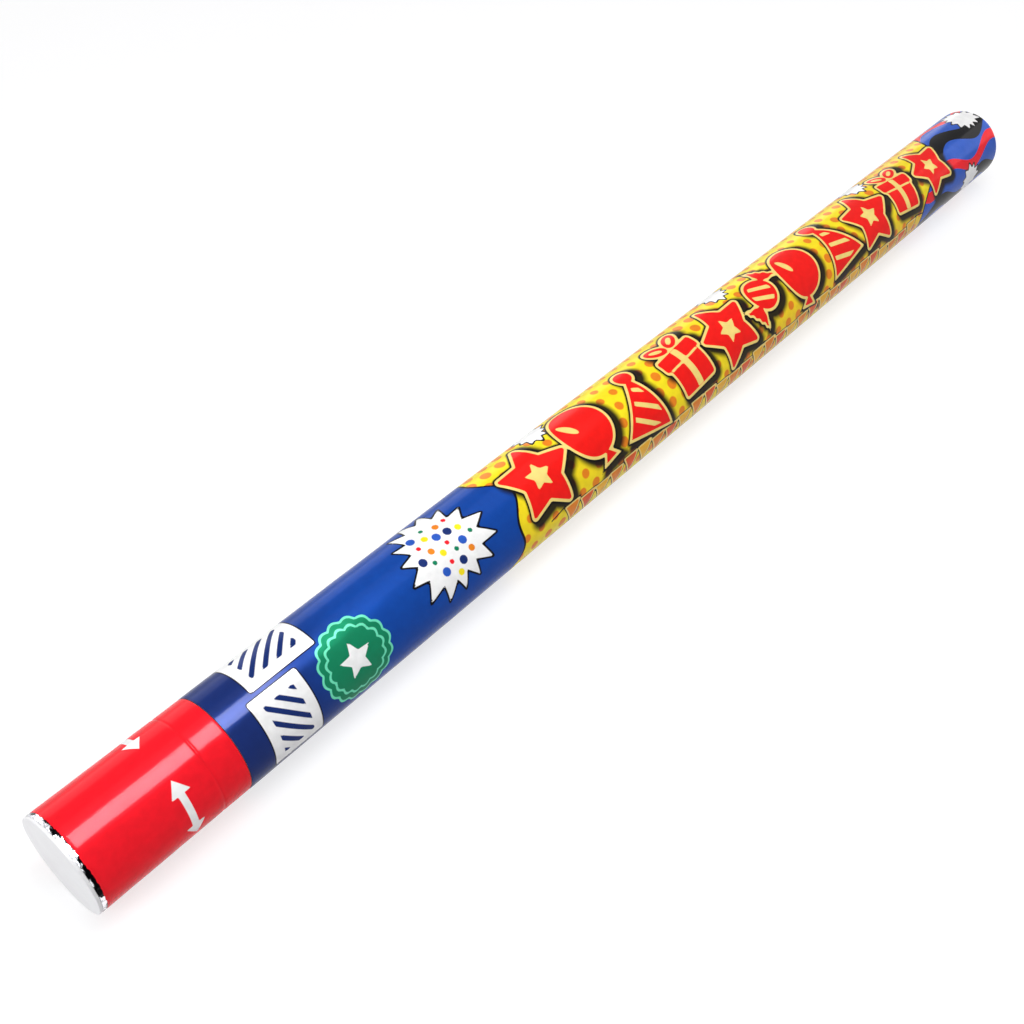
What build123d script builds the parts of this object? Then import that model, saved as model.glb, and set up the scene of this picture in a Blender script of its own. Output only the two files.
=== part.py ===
"""Twist-to-fire confetti popper, lying on its side with the muzzle towards +X.

The popper's axis is X. The origin is the centre of the base end face, Z is up, and sizes are in
millimetres. The barrel is the fixed piece, the grip with its air canister turns about X, and the
plug, pusher, confetti and muzzle seal leave the barrel along +X.
"""
import os
from math import cos, hypot, radians, sin

from build123d import *

# Overall sizes
popper_length = 780.0
barrel_radius = 24.8
grip_length = 77.7

# Fits and clearances
glue_gap = 0.05
joint_gap = 0.3
turning_clearance = 0.3
slide_clearance = 0.3
seal_clearance = 0.05

# Card tubes and their printed wraps
wrap_thickness = 0.25
barrel_wall = 1.8
grip_wall = 1.75
grip_step = 0.15
label_start = 4.2
crease_inset = 14.3
crease_width = 2.4
crease_depth = 0.25

# End cap, and the foil that is turned in under its rim
cap_thickness = 1.6
cap_edge_radius = 0.45
cap_inset = 0.15
cap_skirt_length = 8.0
cap_skirt_wall = 1.6
foil_thickness = 0.15
foil_turn_in = 1.2

# Air canister and its packing
canister_wall = 0.6
canister_reach = 30.0
canister_foot_radius = 3.0
canister_dome_depth = 6.0
neck_share = 0.655
shoulder_angle = 60.0
neck_room = 0.8
curl_radius = 1.4
liner_inset = 1.0

# Fill plug in the canister's base
fill_hole_radius = 3.0
fill_flange_width = 1.5
fill_flange_thickness = 1.4

# Valve in the canister's mouth
cup_sheet = 0.4
cup_gap = 0.1
cup_depth = 7.0
cup_gasket_thickness = 0.8
cup_gasket_width = 1.8
nozzle_bore_radius = 4.3
nozzle_wall = 2.2
nozzle_rise = 9.0
nozzle_flange_width = 2.8
nozzle_flange_thickness = 2.0
nozzle_gasket_thickness = 1.0

# Bush and anchor ring, glued in the barrel
bush_wall = 2.05
bush_inset = 1.0
bush_margin = 1.6
anchor_wall = 1.75
anchor_slot_depth = 2.3
anchor_lip_thickness = 2.4
anchor_lip_gap = 0.4
anchor_lip_clearance = 0.6
anchor_rim = 1.6
lip_split_width = 2.0
lip_split_count = 6
lip_split_share = 0.7

# Release plug and its seal ring
plug_seat_gap = 0.2
plug_stem_clearance = 0.25
plug_stem_reach = 1.2
plug_head_width = 3.7
plug_head_thickness = 4.0
plug_wing_thickness = 2.6
plug_wing_height = 10.0
plug_wing_count = 4
plug_slot_clearance = 0.3
ring_section_radius = 0.6
ring_groove_slack = 0.1
ring_place_share = 0.45

# Pusher, felt wad and confetti
pusher_standoff = 9.0
pusher_length = 16.0
pusher_wall = 1.2
pusher_floor = 1.6
wad_thickness = 5.0
load_clearance = 0.6
load_standoff = 0.8
slip_length = 55.0
slip_width = 19.6
slip_pinch = 4.2
slip_gap = 0.8
column_gap = 0.4
packet_gap = 4.0
confetti_colours = ("red", "yellow", "blue", "green", "silver")

# Muzzle seal
seal_recess = 6.0
seal_rim_depth = 7.0
seal_disc_thickness = 1.6

# Radii, from the outside in
barrel_tube_radius = barrel_radius - wrap_thickness - glue_gap
barrel_bore = barrel_tube_radius - barrel_wall
fitted_radius = barrel_bore - glue_gap
sliding_radius = barrel_bore - slide_clearance
bush_bore = fitted_radius - bush_wall
canister_radius = bush_bore - turning_clearance
cavity_radius = canister_radius - canister_wall
grip_radius = barrel_radius - grip_step
grip_tube_radius = grip_radius - wrap_thickness - glue_gap
grip_bore = grip_tube_radius - grip_wall
neck_radius = neck_share * canister_radius
mouth_radius = neck_radius - canister_wall
curl_outer_radius = mouth_radius + 2 * curl_radius

# Places along the axis, from the base to the muzzle
grip_tube_start = cap_thickness + foil_thickness
barrel_start = grip_length + joint_gap
shoulder_start = barrel_start + canister_reach
shoulder_radius = (canister_radius - neck_radius) / (1 - cos(radians(shoulder_angle)))
neck_start = shoulder_start + shoulder_radius * sin(radians(shoulder_angle))
curl_place = neck_start + neck_room + anchor_lip_thickness + anchor_lip_gap + curl_radius
cup_rim = curl_place + curl_radius + cup_gasket_thickness
cup_top = cup_rim + cup_sheet
cup_floor_top = cup_top - cup_depth
cup_floor_bottom = cup_floor_top - cup_sheet
nozzle_flange_top = cup_floor_bottom - nozzle_gasket_thickness
nozzle_bottom = nozzle_flange_top - nozzle_flange_thickness
nozzle_top = cup_floor_top + nozzle_rise
plug_head_start = nozzle_top + plug_seat_gap
plug_wing_end = plug_head_start + plug_wing_height
anchor_lip_top = curl_place - curl_radius - anchor_lip_gap
anchor_start = anchor_lip_top - anchor_lip_thickness
anchor_end = plug_wing_end + anchor_rim
pusher_start = anchor_end + pusher_standoff
pusher_end = pusher_start + pusher_length
wad_end = pusher_end + wad_thickness
load_start = wad_end + load_standoff
seal_front = popper_length - seal_recess
seal_disc_front = seal_front - foil_thickness - glue_gap
seal_disc_back = seal_disc_front - seal_disc_thickness

# End cap: a white plastic disc with a skirt that plugs the grip tube
cap_skirt_radius = grip_bore - glue_gap
with BuildPart() as end_cap:
    with BuildSketch(Plane.YZ):
        Circle(grip_radius - cap_inset)
    extrude(amount=cap_thickness)
    fillet(end_cap.edges().filter_by(GeomType.CIRCLE), radius=cap_edge_radius)
    with BuildSketch(Plane.YZ.offset(cap_thickness)):
        Circle(cap_skirt_radius)
        Circle(cap_skirt_radius - cap_skirt_wall, mode=Mode.SUBTRACT)
    extrude(amount=cap_skirt_length)

# Rim foil: the bare end of the metallised film, turned in over the tube's end
foil_inside = grip_tube_radius + glue_gap
foil_outside = foil_inside + foil_thickness
with BuildPart() as rim_foil:
    with BuildSketch(Plane.XY):
        with BuildLine():
            Polyline(
                (cap_thickness, grip_tube_radius - foil_turn_in),
                (grip_tube_start, grip_tube_radius - foil_turn_in),
                (grip_tube_start, foil_inside),
                (label_start, foil_inside),
                (label_start, foil_outside),
                (cap_thickness, foil_outside),
                close=True,
            )
        make_face()
    revolve(axis=Axis.X)

# Grip tube: card, with a shallow rolled crease
crease_place = grip_length - crease_inset
crease_foot = crease_place - crease_width / 2
crease_head = crease_place + crease_width / 2
with BuildPart() as grip_tube:
    with BuildSketch(Plane.XY):
        with BuildLine():
            Polyline(
                (grip_tube_start, grip_bore),
                (grip_length, grip_bore),
                (grip_length, grip_tube_radius),
                (crease_head, grip_tube_radius),
                (crease_place, grip_tube_radius - crease_depth),
                (crease_foot, grip_tube_radius),
                (grip_tube_start, grip_tube_radius),
                close=True,
            )
        make_face()
    revolve(axis=Axis.X)

# Grip wrap: the printed film on the grip, which follows the crease
wrap_inside = grip_tube_radius + glue_gap
with BuildPart() as grip_wrap:
    with BuildSketch(Plane.XY):
        with BuildLine():
            Polyline(
                (label_start, wrap_inside),
                (crease_foot, wrap_inside),
                (crease_place, wrap_inside - crease_depth),
                (crease_head, wrap_inside),
                (grip_length, wrap_inside),
                (grip_length, grip_radius),
                (crease_head, grip_radius),
                (crease_place, grip_radius - crease_depth),
                (crease_foot, grip_radius),
                (label_start, grip_radius),
                close=True,
            )
        make_face()
    revolve(axis=Axis.X)

# Air canister: thin aluminium with a domed base, a round shoulder and a curled mouth
foot_place = cap_thickness + canister_foot_radius
foot_ring_radius = canister_radius - canister_foot_radius
dome_top = cap_thickness + canister_dome_depth
shoulder_centre = (shoulder_start, canister_radius - shoulder_radius)
with BuildPart() as air_canister:
    with BuildSketch(Plane.XY):
        with BuildLine():
            Line((dome_top, 0), (curl_place, 0))
            Line((curl_place, 0), (curl_place, neck_radius))
            Line((curl_place, neck_radius), (neck_start, neck_radius))
            CenterArc(shoulder_centre, shoulder_radius, 90 - shoulder_angle, shoulder_angle)
            Line((shoulder_start, canister_radius), (foot_place, canister_radius))
            CenterArc((foot_place, foot_ring_radius), canister_foot_radius, 90, 90)
            TangentArc((dome_top, 0), (cap_thickness, foot_ring_radius), tangent=(0, 1))
        make_face()
    revolve(axis=Axis.X)
    with BuildSketch(Plane.XY):
        with Locations((curl_place, mouth_radius + curl_radius)):
            Circle(curl_radius)
    revolve(axis=Axis.X)
    with BuildSketch(Plane.XY):
        with BuildLine():
            inner_shoulder = CenterArc(
                shoulder_centre,
                shoulder_radius - canister_wall,
                90 - shoulder_angle,
                shoulder_angle,
            )
            Line((shoulder_start, cavity_radius), (foot_place, cavity_radius))
            CenterArc(
                (foot_place, foot_ring_radius), canister_foot_radius - canister_wall, 90, 90
            )
            TangentArc(
                (dome_top + canister_wall, 0),
                (cap_thickness + canister_wall, foot_ring_radius),
                tangent=(0, 1),
            )
            Line((dome_top + canister_wall, 0), (cup_top, 0))
            Line((cup_top, 0), (cup_top, mouth_radius))
            Line((cup_top, mouth_radius), (neck_start, mouth_radius))
            Line((neck_start, mouth_radius), inner_shoulder @ 0)
        make_face()
    revolve(axis=Axis.X, mode=Mode.SUBTRACT)
    with BuildSketch(Plane.YZ.offset(cap_thickness)):
        Circle(fill_hole_radius)
    extrude(amount=canister_dome_depth + 2 * canister_wall, mode=Mode.SUBTRACT)

# Fill plug: a rubber bung with a flange on each side of the canister's dome
fill_body_radius = fill_hole_radius - glue_gap
fill_flange_radius = fill_hole_radius + fill_flange_width
dome_radius = (foot_ring_radius**2 + canister_dome_depth**2) / (2 * canister_dome_depth)
fill_flange_drop = fill_flange_radius**2 / dome_radius
fill_outer_face = dome_top - fill_flange_drop
fill_inner_face = dome_top + canister_wall
with BuildPart() as fill_plug:
    with BuildSketch(Plane.XY):
        with BuildLine():
            Polyline(
                (fill_outer_face - fill_flange_thickness, 0),
                (fill_outer_face - fill_flange_thickness, fill_flange_radius),
                (fill_outer_face, fill_flange_radius),
                (fill_outer_face, fill_body_radius),
                (fill_inner_face, fill_body_radius),
                (fill_inner_face, fill_flange_radius),
                (fill_inner_face + fill_flange_thickness, fill_body_radius),
                (fill_inner_face + fill_flange_thickness, 0),
                close=True,
            )
        make_face()
    revolve(axis=Axis.X)

# Canister liner: paper packing between the canister and the grip tube
liner_start = cap_thickness + cap_skirt_length + liner_inset
with BuildPart() as canister_liner:
    with BuildSketch(Plane.YZ.offset(liner_start)):
        Circle(grip_bore - glue_gap)
        Circle(canister_radius + glue_gap, mode=Mode.SUBTRACT)
    extrude(amount=grip_length - liner_inset - liner_start)

# Valve cup: pressed tinplate over the curled mouth, with a holed floor for the nozzle
nozzle_radius = nozzle_bore_radius + nozzle_wall
cup_skirt_inside = curl_outer_radius + cup_gap
cup_skirt_outside = cup_skirt_inside + cup_sheet
cup_drop_outside = mouth_radius - cup_gap
cup_drop_inside = cup_drop_outside - cup_sheet
with BuildPart() as valve_cup:
    with BuildSketch(Plane.XY):
        with BuildLine():
            Polyline(
                (cup_floor_bottom, nozzle_radius + glue_gap),
                (cup_floor_bottom, cup_drop_outside),
                (cup_rim, cup_drop_outside),
                (cup_rim, cup_skirt_inside),
                (curl_place, cup_skirt_inside),
                (curl_place, cup_skirt_outside),
                (cup_top, cup_skirt_outside),
                (cup_top, cup_drop_inside),
                (cup_floor_top, cup_drop_inside),
                (cup_floor_top, nozzle_radius + glue_gap),
                close=True,
            )
        make_face()
    revolve(axis=Axis.X)

# Cup gasket: a flat rubber ring between the curled mouth and the valve cup's rim
gasket_middle = mouth_radius + curl_radius
with BuildPart() as cup_gasket:
    with BuildSketch(Plane.YZ.offset(curl_place + curl_radius)):
        Circle(gasket_middle + cup_gasket_width / 2)
        Circle(gasket_middle - cup_gasket_width / 2, mode=Mode.SUBTRACT)
    extrude(amount=cup_gasket_thickness)

# Nozzle: a flanged plastic tube through the valve cup's floor
nozzle_flange_radius = nozzle_radius + nozzle_flange_width
with BuildPart() as nozzle:
    with BuildSketch(Plane.YZ.offset(nozzle_bottom)):
        Circle(nozzle_flange_radius)
        Circle(nozzle_bore_radius, mode=Mode.SUBTRACT)
    extrude(amount=nozzle_flange_thickness)
    with BuildSketch(Plane.YZ.offset(nozzle_flange_top)):
        Circle(nozzle_radius)
        Circle(nozzle_bore_radius, mode=Mode.SUBTRACT)
    extrude(amount=nozzle_top - nozzle_flange_top)

# Nozzle gasket: a rubber washer between the nozzle's flange and the valve cup's floor
with BuildPart() as nozzle_gasket:
    with BuildSketch(Plane.YZ.offset(nozzle_flange_top)):
        Circle(nozzle_flange_radius)
        Circle(nozzle_radius + glue_gap, mode=Mode.SUBTRACT)
    extrude(amount=nozzle_gasket_thickness)

# Barrel tube: a plain card tube
barrel_length = popper_length - barrel_start
with BuildPart() as barrel_tube:
    with BuildSketch(Plane.YZ.offset(barrel_start)):
        Circle(barrel_tube_radius)
        Circle(barrel_bore, mode=Mode.SUBTRACT)
    extrude(amount=barrel_length)

# Barrel wrap: the printed film glued round the barrel tube
with BuildPart() as barrel_wrap:
    with BuildSketch(Plane.YZ.offset(barrel_start)):
        Circle(barrel_radius)
        Circle(barrel_radius - wrap_thickness, mode=Mode.SUBTRACT)
    extrude(amount=barrel_length)

# Barrel bush: a card sleeve glued in the barrel, which turns on the canister's side
bush_start = barrel_start + bush_inset
with BuildPart() as barrel_bush:
    with BuildSketch(Plane.YZ.offset(bush_start)):
        Circle(fitted_radius)
        Circle(bush_bore, mode=Mode.SUBTRACT)
    extrude(amount=shoulder_start - bush_margin - bush_start)

# Anchor ring: a plastic ring glued in the barrel. Its split lip snaps under the canister's curl,
# and its slots hold the release plug's wings.
anchor_slot_radius = fitted_radius - anchor_wall
anchor_inside = anchor_slot_radius - anchor_slot_depth
lip_inside = neck_radius + anchor_lip_clearance
slot_width = plug_wing_thickness + 2 * plug_slot_clearance
lip_split_turn = 180 / lip_split_count
wing_turn = 180 / plug_wing_count
lip_split_reach = lip_inside + lip_split_share * (anchor_inside - lip_inside)
with BuildPart() as anchor_ring:
    with BuildSketch(Plane.YZ.offset(anchor_start)):
        Circle(fitted_radius)
        Circle(lip_inside, mode=Mode.SUBTRACT)
        with PolarLocations(0, lip_split_count, start_angle=lip_split_turn):
            Rectangle(
                lip_split_reach, lip_split_width, align=(Align.MIN, Align.CENTER), mode=Mode.SUBTRACT
            )
    extrude(amount=anchor_lip_thickness)
    with BuildSketch(Plane.YZ.offset(anchor_lip_top)):
        Circle(fitted_radius)
        Circle(anchor_inside, mode=Mode.SUBTRACT)
    extrude(amount=anchor_end - anchor_lip_top)
    with BuildSketch(Plane.YZ.offset(plug_head_start - plug_slot_clearance)):
        with PolarLocations(0, plug_wing_count, start_angle=wing_turn):
            Rectangle(anchor_slot_radius, slot_width, align=(Align.MIN, Align.CENTER))
    extrude(amount=anchor_end - plug_head_start + plug_slot_clearance, mode=Mode.SUBTRACT)

# Release plug: a stem in the nozzle, a head, and wings that keep it from turning with the grip
stem_radius = nozzle_bore_radius - plug_stem_clearance
stem_start = nozzle_bottom + plug_stem_reach
ring_place = stem_start + ring_place_share * (nozzle_top - stem_start)
ring_outside = nozzle_bore_radius - seal_clearance
ring_middle = ring_outside - ring_section_radius
groove_floor = ring_middle - ring_section_radius - seal_clearance
groove_half_width = ring_section_radius + ring_groove_slack
plug_head_radius = nozzle_bore_radius + plug_head_width
wing_tip_radius = anchor_slot_radius - plug_slot_clearance
with BuildPart() as release_plug:
    with BuildSketch(Plane.XY):
        with BuildLine():
            Polyline(
                (stem_start, 0),
                (stem_start, stem_radius),
                (ring_place - groove_half_width, stem_radius),
                (ring_place - groove_half_width, groove_floor),
                (ring_place + groove_half_width, groove_floor),
                (ring_place + groove_half_width, stem_radius),
                (plug_head_start, stem_radius),
                (plug_head_start, plug_head_radius),
                (plug_head_start + plug_head_thickness, plug_head_radius),
                (plug_head_start + plug_head_thickness, 0),
                close=True,
            )
        make_face()
    revolve(axis=Axis.X)
    with BuildSketch(Plane.YZ.offset(plug_head_start)):
        with PolarLocations(0, plug_wing_count, start_angle=wing_turn):
            Rectangle(wing_tip_radius, plug_wing_thickness, align=(Align.MIN, Align.CENTER))
    extrude(amount=plug_wing_height)

# Seal ring: a rubber ring in the plug's groove
with BuildPart() as seal_ring:
    with BuildSketch(Plane.XY):
        with Locations((ring_place, ring_middle)):
            Circle(ring_section_radius)
    revolve(axis=Axis.X)

# Pusher cup: a plastic piston, open towards the air canister
with BuildPart() as pusher_cup:
    with BuildSketch(Plane.YZ.offset(pusher_start)):
        Circle(sliding_radius)
    extrude(amount=pusher_length)
    with BuildSketch(Plane.YZ.offset(pusher_start)):
        Circle(sliding_radius - pusher_wall)
    extrude(amount=pusher_length - pusher_floor, mode=Mode.SUBTRACT)

# Felt wad: a thick disc between the pusher and the confetti
with BuildPart() as felt_wad:
    with BuildSketch(Plane.YZ.offset(pusher_end)):
        Circle(sliding_radius)
    extrude(amount=wad_thickness)

# Muzzle disc and the foil cup that faces it
with BuildPart() as muzzle_disc:
    with BuildSketch(Plane.YZ.offset(seal_disc_back)):
        Circle(sliding_radius - foil_thickness - glue_gap)
    extrude(amount=seal_disc_thickness)

with BuildPart() as muzzle_foil:
    with BuildSketch(Plane.YZ.offset(seal_front - seal_rim_depth)):
        Circle(sliding_radius)
    extrude(amount=seal_rim_depth)
    with BuildSketch(Plane.YZ.offset(seal_front - seal_rim_depth)):
        Circle(sliding_radius - foil_thickness)
    extrude(amount=seal_rim_depth - foil_thickness, mode=Mode.SUBTRACT)

# Confetti: flat pinches of slips stacked across the bore, in two columns where the bore is wide
# enough. One packet after another fills the barrel, and the colours take turns.
load_radius = barrel_bore - load_clearance
row_pitch = slip_pinch + slip_gap
row_count = 2 * int(load_radius / row_pitch)
column_place = (slip_width + column_gap) / 2
slip_places = []
for row in range(row_count):
    row_place = (row - (row_count - 1) / 2) * row_pitch
    row_edge = abs(row_place) + slip_pinch / 2
    if hypot(row_edge, column_place + slip_width / 2) <= load_radius:
        slip_places += [(row_place, -column_place), (row_place, column_place)]
    elif hypot(row_edge, slip_width / 2) <= load_radius:
        slip_places += [(row_place, 0)]

packet_pitch = slip_length + packet_gap
packet_count = int((seal_disc_back - load_start) / packet_pitch)
confetti = {}
for turn, colour in enumerate(confetti_colours):
    with BuildPart() as confetti_packets:
        for packet in range(turn, packet_count, len(confetti_colours)):
            with BuildSketch(Plane.YZ.offset(load_start + packet * packet_pitch)):
                with Locations(*slip_places):
                    Rectangle(slip_pinch, slip_width)
            extrude(amount=slip_length)
    confetti["confetti_" + colour] = confetti_packets

# One file for each piece
pieces = {
    "end_cap": end_cap,
    "rim_foil": rim_foil,
    "grip_tube": grip_tube,
    "grip_wrap": grip_wrap,
    "air_canister": air_canister,
    "fill_plug": fill_plug,
    "canister_liner": canister_liner,
    "valve_cup": valve_cup,
    "cup_gasket": cup_gasket,
    "nozzle": nozzle,
    "nozzle_gasket": nozzle_gasket,
    "barrel_tube": barrel_tube,
    "barrel_wrap": barrel_wrap,
    "barrel_bush": barrel_bush,
    "anchor_ring": anchor_ring,
    "release_plug": release_plug,
    "seal_ring": seal_ring,
    "pusher_cup": pusher_cup,
    "felt_wad": felt_wad,
    "muzzle_disc": muzzle_disc,
    "muzzle_foil": muzzle_foil,
    **confetti,
}
os.makedirs("parts", exist_ok=True)
for name, piece in pieces.items():
    piece.part.label = name
    export_step(piece.part, f"parts/{name}.step")
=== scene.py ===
"""Looks of a twist-to-fire confetti popper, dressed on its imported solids.

The popper lies along X with its muzzle towards +X and Z up, in metres. The printed film is laid out
in millimetres on the unrolled tube: "along" runs from the base to the muzzle, and "around" runs from
the top of the tube down its front, towards -Y. Motifs on it are signed distances, less than zero
inside, which the mesh carries as attributes and the film's material cuts to crisp edges.
"""

import bpy
import numpy as np
from mathutils import Matrix, Vector


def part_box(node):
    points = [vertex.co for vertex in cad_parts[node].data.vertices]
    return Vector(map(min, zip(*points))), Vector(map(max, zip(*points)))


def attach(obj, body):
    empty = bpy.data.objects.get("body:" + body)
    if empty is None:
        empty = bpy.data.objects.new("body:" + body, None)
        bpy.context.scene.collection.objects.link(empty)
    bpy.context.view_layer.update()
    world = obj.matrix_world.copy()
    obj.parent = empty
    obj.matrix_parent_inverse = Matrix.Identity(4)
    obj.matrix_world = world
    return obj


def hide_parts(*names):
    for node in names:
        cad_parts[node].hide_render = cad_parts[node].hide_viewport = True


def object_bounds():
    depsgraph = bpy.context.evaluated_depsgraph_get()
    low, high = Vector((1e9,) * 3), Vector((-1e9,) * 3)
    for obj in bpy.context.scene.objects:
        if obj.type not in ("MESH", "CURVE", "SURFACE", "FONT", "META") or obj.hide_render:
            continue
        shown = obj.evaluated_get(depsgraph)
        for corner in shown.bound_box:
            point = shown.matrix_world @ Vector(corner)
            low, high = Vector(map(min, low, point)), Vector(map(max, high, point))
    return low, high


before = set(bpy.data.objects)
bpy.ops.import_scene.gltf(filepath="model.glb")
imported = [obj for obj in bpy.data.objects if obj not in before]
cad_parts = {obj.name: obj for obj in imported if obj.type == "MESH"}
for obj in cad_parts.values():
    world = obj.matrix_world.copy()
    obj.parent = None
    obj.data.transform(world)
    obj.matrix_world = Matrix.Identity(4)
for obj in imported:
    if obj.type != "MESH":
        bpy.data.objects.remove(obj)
CAD_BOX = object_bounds()

# Sizes in metres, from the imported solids
MM = 0.001
WRAP_LOW, WRAP_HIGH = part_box("barrel_wrap")
GRIP_LOW, GRIP_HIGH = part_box("grip_wrap")
RADIUS = WRAP_HIGH.z
FLOOR = CAD_BOX[0].z
MIDDLE = Vector((0.39, 0, 0))

# Sizes of the two printed films
FILM_THICKNESS = 0.25 * MM
FILM_SINK = 0.03 * MM
CUT_ROUND = 0.5 * MM
CUT_PRESS = 0.1 * MM
TORN_EDGE = 0.9 * MM
TORN_FADE = 3 * MM
CREASE = GRIP_HIGH.x - 14.3 * MM
CREASE_HALF = 1.2 * MM
CREASE_DEPTH = 0.25 * MM

# Sizes of the print, in millimetres on the unrolled film
GIRTH = 2 * np.pi * RADIUS / MM
LAP = -58.0
FAR = 60.0

# Inks and finishes, as sRGB values from 0 to 255
WHITE = (252, 252, 252)
BLACK = (8, 8, 12)
RED = (250, 24, 40)
# A darker red for painted shade in the grip's crease
CREASE_SHADE_RED = (190, 30, 44)
NAVY = (23, 46, 112)
NIGHT = (12, 16, 40)
ROYAL = (14, 70, 162)
SKY = (44, 92, 196)
YELLOW = (253, 232, 34)
GOLD = (250, 190, 36)
AMBER = (250, 186, 44)
ORANGE = (240, 136, 32)
RUST = (236, 92, 36)
CREAM = (250, 222, 130)
MOTIF_RED = (248, 26, 22)
GREEN = (18, 132, 92)
MINT = (112, 228, 188)
BARE_FILM = (214, 214, 218)
# Painted shade for the foil's creases, and a painted dark reflection for its dark patches
FOIL_CREASE_SHADE = (120, 122, 130)
FOIL_DARK_REFLECTION = (6, 6, 8)


def linear(colour):
    """An sRGB colour as linear RGBA, by the sRGB curve."""
    c = np.array(colour) / 255
    c = np.where(c <= 0.04045, c / 12.92, ((c + 0.055) / 1.055) ** 2.4)
    return (*c, 1.0)


# Meshes from arrays


def put_mesh(name, points, quads, triangles=None, sharp_degrees=40):
    """A smooth-shaded object at the origin from points, four-sided faces and three-sided faces."""
    mesh = bpy.data.meshes.new(name)
    triangles = np.zeros((0, 3), int) if triangles is None else triangles
    corners = np.concatenate([quads.ravel(), triangles.ravel()])
    sizes = np.repeat([4, 3], [len(quads), len(triangles)])
    mesh.vertices.add(len(points))
    mesh.vertices.foreach_set("co", points.astype(np.float32).ravel())
    mesh.loops.add(len(corners))
    mesh.loops.foreach_set("vertex_index", corners.astype(np.int32))
    mesh.polygons.add(len(sizes))
    mesh.polygons.foreach_set("loop_start", (np.cumsum(sizes) - sizes).astype(np.int32))
    mesh.update(calc_edges=True)
    mesh.validate()
    mesh.shade_smooth()
    mesh.set_sharp_from_angle(angle=np.radians(sharp_degrees))
    piece = bpy.data.objects.new(name, mesh)
    bpy.context.scene.collection.objects.link(piece)
    return piece


def round_quads(rows, columns, closed):
    """Faces of a grid that closes on itself across its columns, and down its rows if closed."""
    i = np.arange(rows if closed else rows - 1)[:, None]
    j = np.arange(columns)[None, :]
    below, beside = (i + 1) % rows, (j + 1) % columns
    corners = [i * columns + j, i * columns + beside, below * columns + beside, below * columns + j]
    return np.stack(np.broadcast_arrays(*corners), -1).reshape(-1, 4)


def turns(columns):
    """One row of evenly spaced angles round the axis."""
    return 2 * np.pi * np.arange(columns)[None, :] / columns


def turned(along, radius, turn):
    """Points at a place along the axis, a radius, and an angle from +Z towards -Y."""
    return np.stack(np.broadcast_arrays(along, -radius * np.sin(turn), radius * np.cos(turn)), -1)


def keep(piece, fields):
    """Keep one number, or one colour, for each point of a piece under each field's name."""
    for name, values in fields.items():
        kind, part = ("FLOAT_COLOR", "color") if values.ndim == 3 else ("FLOAT", "value")
        attribute = piece.data.attributes.new(name, kind, "POINT")
        attribute.data.foreach_set(part, np.ascontiguousarray(values, np.float32).ravel())


def ripples(along, turn, shortest, lobes, seed, count=14):
    """Unevenness from about -1 to 1: a sum of sine waves of seeded length, lobe count and phase."""
    draw = np.random.default_rng(seed)
    total = np.zeros(np.broadcast(along, turn).shape)
    for _ in range(count):
        wave = 2 * np.pi / (shortest * draw.uniform(1, 5))
        lobe, phase = draw.integers(-lobes, lobes + 1), draw.uniform(0, 2 * np.pi)
        total += np.sin(wave * along + lobe * turn + phase)
    return total / np.sqrt(2 * count)


def folds(along, turn, shortest, lobes, seed, count=10):
    """Sharp crumples from 0 to 1: a mean of rectified sine waves, whose valleys are creases."""
    draw = np.random.default_rng(seed)
    total = np.zeros(np.broadcast(along, turn).shape)
    for _ in range(count):
        wave = np.pi / (shortest * draw.uniform(0.7, 3))
        lobe, phase = draw.integers(-lobes, lobes + 1), draw.uniform(0, np.pi)
        total += np.abs(np.sin(wave * along + lobe * turn + phase))
    return total / count


def film_ring(name, stations, columns, outside, inner, torn=0.0):
    """A thin closed ring: an outer skin with a row at each station, and an inner skin of two rows.

    outside(along, turn) gives the outer radius over the grid, and inner is the inner radius. The
    first rows reach out unevenly by up to torn, which fades within a short way. The cut edges and the
    inner skin take the second material.
    """
    stretch = 1.6
    turn = turns(columns)
    rows = np.concatenate([stations, stations[[-1, 0]]])[:, None]
    radius = np.broadcast_to(outside(rows, turn), (len(rows), columns)).copy()
    radius[-2:] = inner
    ragged = torn * (1 - folds(np.zeros(1), turn, 0.01, 34, seed=57)) * stretch
    rows = rows - ragged * np.clip(1 - (rows - stations[0]) / TORN_FADE, 0, 1) ** 2
    points = turned(rows, radius, turn).reshape(-1, 3)
    piece = put_mesh(name, points, round_quads(len(rows), columns, True))
    second = np.repeat(np.arange(len(rows)) >= len(stations) - 1, columns)
    piece.data.materials.append(None)
    piece.data.materials.append(None)
    piece.data.polygons.foreach_set("material_index", second.astype(np.int32))
    along, around = np.broadcast_arrays(rows / MM, turn * RADIUS / MM)
    return piece, along, around


def pole_body(name, along, radius, columns):
    """A closed body round the axis from rows of points, whose first and last row shrink to a pole.

    along and radius are grids of (rows, columns). Fans of triangles close the two poles.
    """
    rows = len(radius)
    points = turned(along, radius, turns(columns)).reshape(-1, 3)
    poles = np.array([[along[0].mean(), 0, 0], [along[-1].mean(), 0, 0]])
    here, beside = np.arange(columns), (np.arange(columns) + 1) % columns
    first, last = np.full(columns, rows * columns), np.full(columns, rows * columns + 1)
    end = (rows - 1) * columns
    fans = np.concatenate([
        np.stack([first, beside, here], -1),
        np.stack([last, end + here, end + beside], -1),
    ])
    return put_mesh(name, np.concatenate([points, poles]), round_quads(rows, columns, False), fans)


# Signed distances of the printed motifs, in millimetres


def way_round(around, place):
    """The shorter way round the tube from a place, less than zero on its upper side."""
    return (around - place + GIRTH / 2) % GIRTH - GIRTH / 2


def own_axes(along, around, place, tilt=0.0):
    """A motif's own axes on the film: u along the barrel and v up, turned by tilt degrees."""
    u, v = along - place[0], -way_round(around, place[1])
    c, s = np.cos(np.radians(tilt)), np.sin(np.radians(tilt))
    return c * u + s * v, c * v - s * u


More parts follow.
